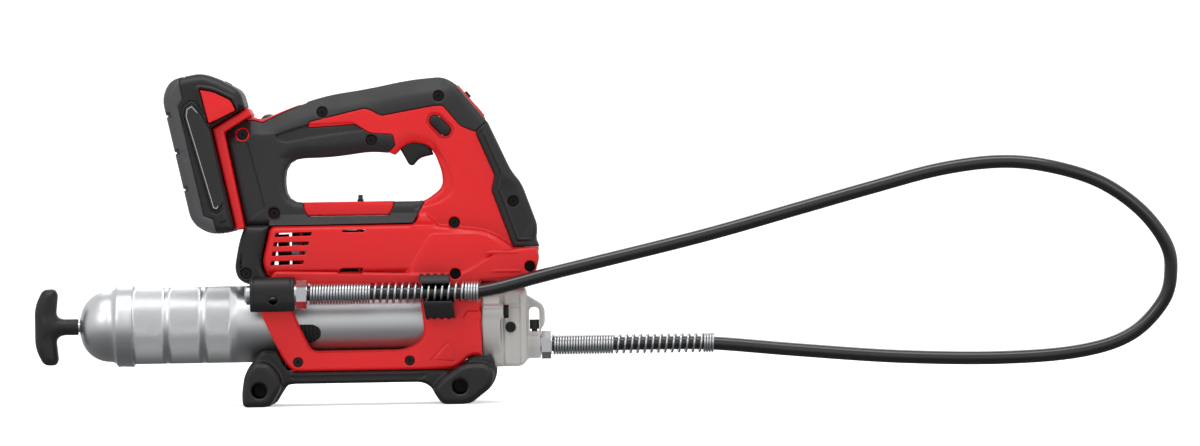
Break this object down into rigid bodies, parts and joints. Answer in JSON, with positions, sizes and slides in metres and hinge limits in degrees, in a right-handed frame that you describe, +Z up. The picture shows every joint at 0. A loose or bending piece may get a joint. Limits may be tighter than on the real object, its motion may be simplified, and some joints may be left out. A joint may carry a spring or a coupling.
{
  "type": "cordless grease gun",
  "caption": "Battery-powered grease gun: loop handle over a knurled grease barrel, T-handle plunger at the rear, whip hose looped from the pump head to its side holder.",
  "frame": {"origin": "on the floor, under the middle of the tool without its hose", "axes": "+X from the T-handle to the hose outlet, -Y the side that carries the parked hose, +Z up"},
  "size_m": [0.8523, 0.108, 0.2477],
  "materials": {
    "red": "satin moulded red nylon",
    "soft_black": "matt soft overmould",
    "black": "satin black nylon",
    "cast_grey": "bead-blasted die casting, clear coated",
    "alu": "drawn tube, satin",
    "steel": "nickel-plated steel",
    "dark_steel": "black oxide",
    "gear_steel": "machined steel",
    "copper": "copper windings and laminations",
    "board": "green circuit board",
    "lens": "clear lamp window",
    "cell_wrap": "shrink wrap",
    "hose_rubber": "smooth hose cover",
    "label": "gloss label plate"
  },
  "bodies": {
    "tool": {"right_housing": "red", "left_housing": "red", "right_grip": "soft_black", "left_grip": "soft_black", "front_guard": "soft_black", "rear_cover": "black", "base": "black", "battery_foot": "red", "terminal_block": "black", "rail_insert": "red", "switch_module": "black", "speed_panel": "red", "lamp_lens": "lens", "control_board": "board", "screws": "dark_steel", "coupler_holder": "black", "hose_clip": "black", "barrel_pad": "soft_black", "pump_head": "cast_grey", "relief_valve": "dark_steel", "filler_plug": "dark_steel", "pump_sleeve": "steel", "check_spring": "steel", "motor_can": "gear_steel", "bearings": "gear_steel", "ring_gear": "gear_steel", "hose": "hose_rubber", "outlet_nut": "steel", "outlet_spring": "steel", "coupler_nut": "steel", "coupler_spring": "steel", "coupler": "steel"},
    "trigger": {"trigger": "black"},
    "lock_button": {"lock_button": "black"},
    "speed_slider": {"speed_slider": "black"},
    "rail_slider": {"rail_slider": "black"},
    "bleed_valve": {"bleed_valve": "black"},
    "check_ball": {"check_ball": "steel"},
    "pump_plunger": {"pump_plunger": "steel"},
    "rotor": {"motor_rotor": "copper", "fan": "black"},
    "crank": {"crank_carrier": "gear_steel"},
    "planet_1": {"planet_1": "gear_steel"},
    "planet_2": {"planet_2": "gear_steel"},
    "planet_3": {"planet_3": "gear_steel"},
    "barrel_turn": {"barrel_gasket": "soft_black"},
    "barrel": {"barrel_tube": "alu", "barrel_cap": "alu", "follower_spring": "steel"},
    "follower": {"follower": "soft_black"},
    "rod": {"plunger_rod": "steel", "t_handle": "black"},
    "battery": {"battery_case": "black", "battery_cover": "black", "battery_label": "label", "battery_cells": "cell_wrap", "battery_board": "board"},
    "latch_right": {"latch_right": "red"},
    "latch_left": {"latch_left": "red"},
    "gauge_button": {"gauge_button": "black"}
  },
  "joints": [
    {"name": "trigger_pull", "type": "slide", "parent": "tool", "child": "trigger", "axis": [-0.5101, 0, 0.8601], "range_m": [0, 0.006], "stiffness_N_per_m": 600, "springref_m": -0.004},
    {"name": "lock_push", "type": "slide", "parent": "tool", "child": "lock_button", "axis": [0, 1, 0], "range_m": [-0.0025, 0.0025]},
    {"name": "speed_slide", "type": "slide", "parent": "tool", "child": "speed_slider", "axis": [0.6468, 0, -0.7627], "range_m": [0, 0.005]},
    {"name": "rail_slide", "type": "slide", "parent": "tool", "child": "rail_slider", "axis": [1, 0, 0], "range_m": [0, 0.009]},
    {"name": "bleed_press", "type": "slide", "parent": "tool", "child": "bleed_valve", "axis": [0, 0, -1], "range_m": [0, 0.0015], "stiffness_N_per_m": 400, "springref_m": -0.002},
    {"name": "check_lift", "type": "slide", "parent": "tool", "child": "check_ball", "axis": [1, 0, 0], "range_m": [0, 0.001]},
    {"name": "pump_stroke", "type": "slide", "parent": "tool", "child": "pump_plunger", "axis": [0, 0, 1], "range_m": [-0.003, 0.003]},
    {"name": "motor_spin", "type": "hinge", "parent": "tool", "child": "rotor", "pos_m": [0.03, 0, 0.1145], "axis": [1, 0, 0], "continuous": true},
    {"name": "crank_turn", "type": "hinge", "parent": "tool", "child": "crank", "pos_m": [0.12, 0, 0.1145], "axis": [1, 0, 0], "continuous": true},
    {"name": "planet_turn_1", "type": "hinge", "parent": "crank", "child": "planet_1", "pos_m": [0.07, 0, 0.1226], "axis": [1, 0, 0], "continuous": true},
    {"name": "planet_turn_2", "type": "hinge", "parent": "crank", "child": "planet_2", "pos_m": [0.07, 0.00702, 0.11045], "axis": [1, 0, 0], "continuous": true},
    {"name": "planet_turn_3", "type": "hinge", "parent": "crank", "child": "planet_3", "pos_m": [0.07, -0.00702, 0.11045], "axis": [1, 0, 0], "continuous": true},
    {"name": "barrel_unscrew", "type": "hinge", "parent": "tool", "child": "barrel_turn", "pos_m": [0.02, 0, 0.061], "axis": [1, 0, 0], "continuous": true},
    {"name": "barrel_withdraw", "type": "slide", "parent": "barrel_turn", "child": "barrel", "axis": [-1, 0, 0], "range_m": [0, 0.29]},
    {"name": "follower_pull", "type": "slide", "parent": "barrel", "child": "follower", "axis": [-1, 0, 0], "range_m": [0, 0.2], "deforming": ["follower_spring"]},
    {"name": "rod_turn", "type": "hinge", "parent": "follower", "child": "rod", "pos_m": [-0.1, 0, 0.061], "axis": [1, 0, 0], "continuous": true},
    {"name": "battery_slide", "type": "slide", "parent": "tool", "child": "battery", "axis": [-0.2141, 0, 0.9768], "range_m": [0, 0.09]},
    {"name": "latch_right_press", "type": "slide", "parent": "battery", "child": "latch_right", "axis": [0, 1, 0], "range_m": [0, 0.0022], "stiffness_N_per_m": 800, "springref_m": -0.002},
    {"name": "latch_left_press", "type": "slide", "parent": "battery", "child": "latch_left", "axis": [0, -1, 0], "range_m": [0, 0.0022], "stiffness_N_per_m": 800, "springref_m": -0.002},
    {"name": "gauge_press", "type": "slide", "parent": "battery", "child": "gauge_button", "axis": [-0.4793, 0, -0.8776], "range_m": [0, 0.001], "stiffness_N_per_m": 300, "springref_m": -0.001}
  ],
  "couplings": [
    {"joint": "crank_turn", "follows": "motor_spin", "ratio": 0.22222},
    {"joint": "planet_turn_1", "follows": "motor_spin", "ratio": -0.62222},
    {"joint": "planet_turn_2", "follows": "motor_spin", "ratio": -0.62222},
    {"joint": "planet_turn_3", "follows": "motor_spin", "ratio": -0.62222}
  ]
}
